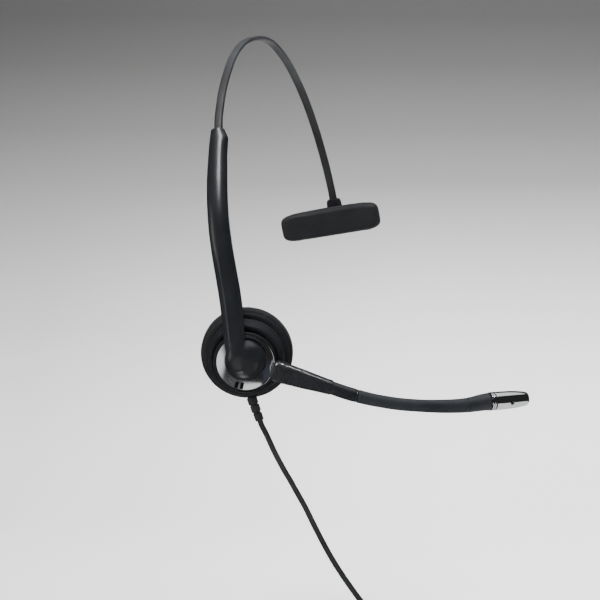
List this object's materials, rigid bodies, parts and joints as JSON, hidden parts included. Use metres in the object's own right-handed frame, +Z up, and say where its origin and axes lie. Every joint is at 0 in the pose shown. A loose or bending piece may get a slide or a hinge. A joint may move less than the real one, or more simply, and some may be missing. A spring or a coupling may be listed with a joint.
{
  "type": "office headset",
  "caption": "One-ear corded office headset: padded ear cup with a bright hub plate, turning microphone boom, curved arm, sliding headband, temple pad and cord with a quick connector.",
  "frame": {"origin": "centre of the ear cushion's contact face, where the head carries the headset", "axes": "+X towards the wearer's front, +Y through the head towards the far side, +Z up; the band's plane holds Y and leans back by 8 degrees, and the ear cup looks 18 degrees forward and 15 degrees down as worn"},
  "size_m": [0.1886, 0.2207, 0.3425],
  "materials": {
    "satin_black": "satin",
    "matte_black": "matte",
    "leatherette": "matte",
    "cloth_black": "matte",
    "rubber_black": "matte",
    "band_grey": "satin",
    "bright_plating": "bright plating on plastic",
    "steel": "satin",
    "board_green": "satin",
    "contact_gold": "polished"
  },
  "bodies": {
    "cup": {"ear_cushion": "leatherette", "cushion_carrier": "matte_black", "speaker_screen": "cloth_black", "speaker_baffle": "matte_black", "speaker_frame": "matte_black", "speaker_diaphragm": "cloth_black", "speaker_magnet": "steel", "terminal_board": "board_green", "cup_housing": "matte_black", "baffle_screw_1": "steel", "baffle_screw_2": "steel", "baffle_screw_3": "steel", "cord_relief": "rubber_black", "cord_lead": "rubber_black", "cord_coil": "rubber_black", "cord_tail": "rubber_black", "cord_tie": "cloth_black", "connector_relief": "rubber_black", "connector_shell": "satin_black", "connector_insert": "matte_black", "connector_contact_1": "contact_gold", "connector_contact_2": "contact_gold", "connector_contact_3": "contact_gold", "connector_contact_4": "contact_gold"},
    "ball_stud": {"pivot_stud": "steel", "stud_clip": "steel"},
    "ball_seat": {"ball_socket": "matte_black"},
    "arm": {"arm_shell": "satin_black", "arm_cover": "matte_black", "arm_screw_1": "steel", "arm_screw_2": "steel", "slider_spring": "steel", "socket_retainer": "matte_black"},
    "band": {"band_core": "steel", "band_sleeve": "band_grey", "band_stop": "steel", "tbar_holder": "satin_black", "tbar_pin": "steel"},
    "temple_bar": {"tbar_plate": "satin_black", "temple_pad": "leatherette"},
    "boom": {"hub_plate": "bright_plating", "hub_bearing": "matte_black", "detent_washer": "steel", "boom_screw_1": "steel", "boom_screw_2": "steel", "boom_root": "satin_black", "boom_collar": "satin_black", "sleeve_rear": "rubber_black", "core_rear": "steel"},
    "boom_tip": {"sleeve_front": "rubber_black", "core_front": "steel", "mic_neck": "satin_black", "mic_ring": "bright_plating", "mic_shell": "bright_plating", "mic_gasket": "rubber_black", "mic_capsule": "steel"}
  },
  "joints": [
    {"name": "boom_swivel", "type": "hinge", "parent": "cup", "child": "boom", "pos_m": [0.00746, -0.02297, -0.00647], "axis": [0.2985, -0.9186, -0.2588], "range_deg": [-30, 50]},
    {"name": "boom_bend", "type": "hinge", "parent": "boom", "child": "boom_tip", "pos_m": [0.09606, 0.01547, -0.03076], "axis": [0, 0, 1], "range_deg": [-25, 30]},
    {"name": "arm_twist", "type": "hinge", "parent": "cup", "child": "ball_stud", "pos_m": [0.00925, -0.02848, -0.00802], "axis": [0.2985, -0.9186, -0.2588], "range_deg": [-12, 12]},
    {"name": "cup_tilt", "type": "hinge", "parent": "ball_stud", "child": "ball_seat", "pos_m": [0.00925, -0.02848, -0.00802], "axis": [0.9511, 0.309, 0], "range_deg": [-3, 12]},
    {"name": "cup_turn", "type": "hinge", "parent": "ball_seat", "child": "arm", "pos_m": [0.00925, -0.02848, -0.00802], "axis": [0.08, -0.2461, 0.9659], "range_deg": [-7, 7]},
    {"name": "size_slide", "type": "slide", "parent": "arm", "child": "band", "axis": [-0.1301, 0.3557, 0.9255], "range_m": [-0.006, 0.02]},
    {"name": "temple_swivel", "type": "hinge", "parent": "band", "child": "temple_bar", "pos_m": [-0.00525, 0.1712, 0.08048], "axis": [0.9903, 0, 0.1392], "range_deg": [-15, 15]}
  ]
}
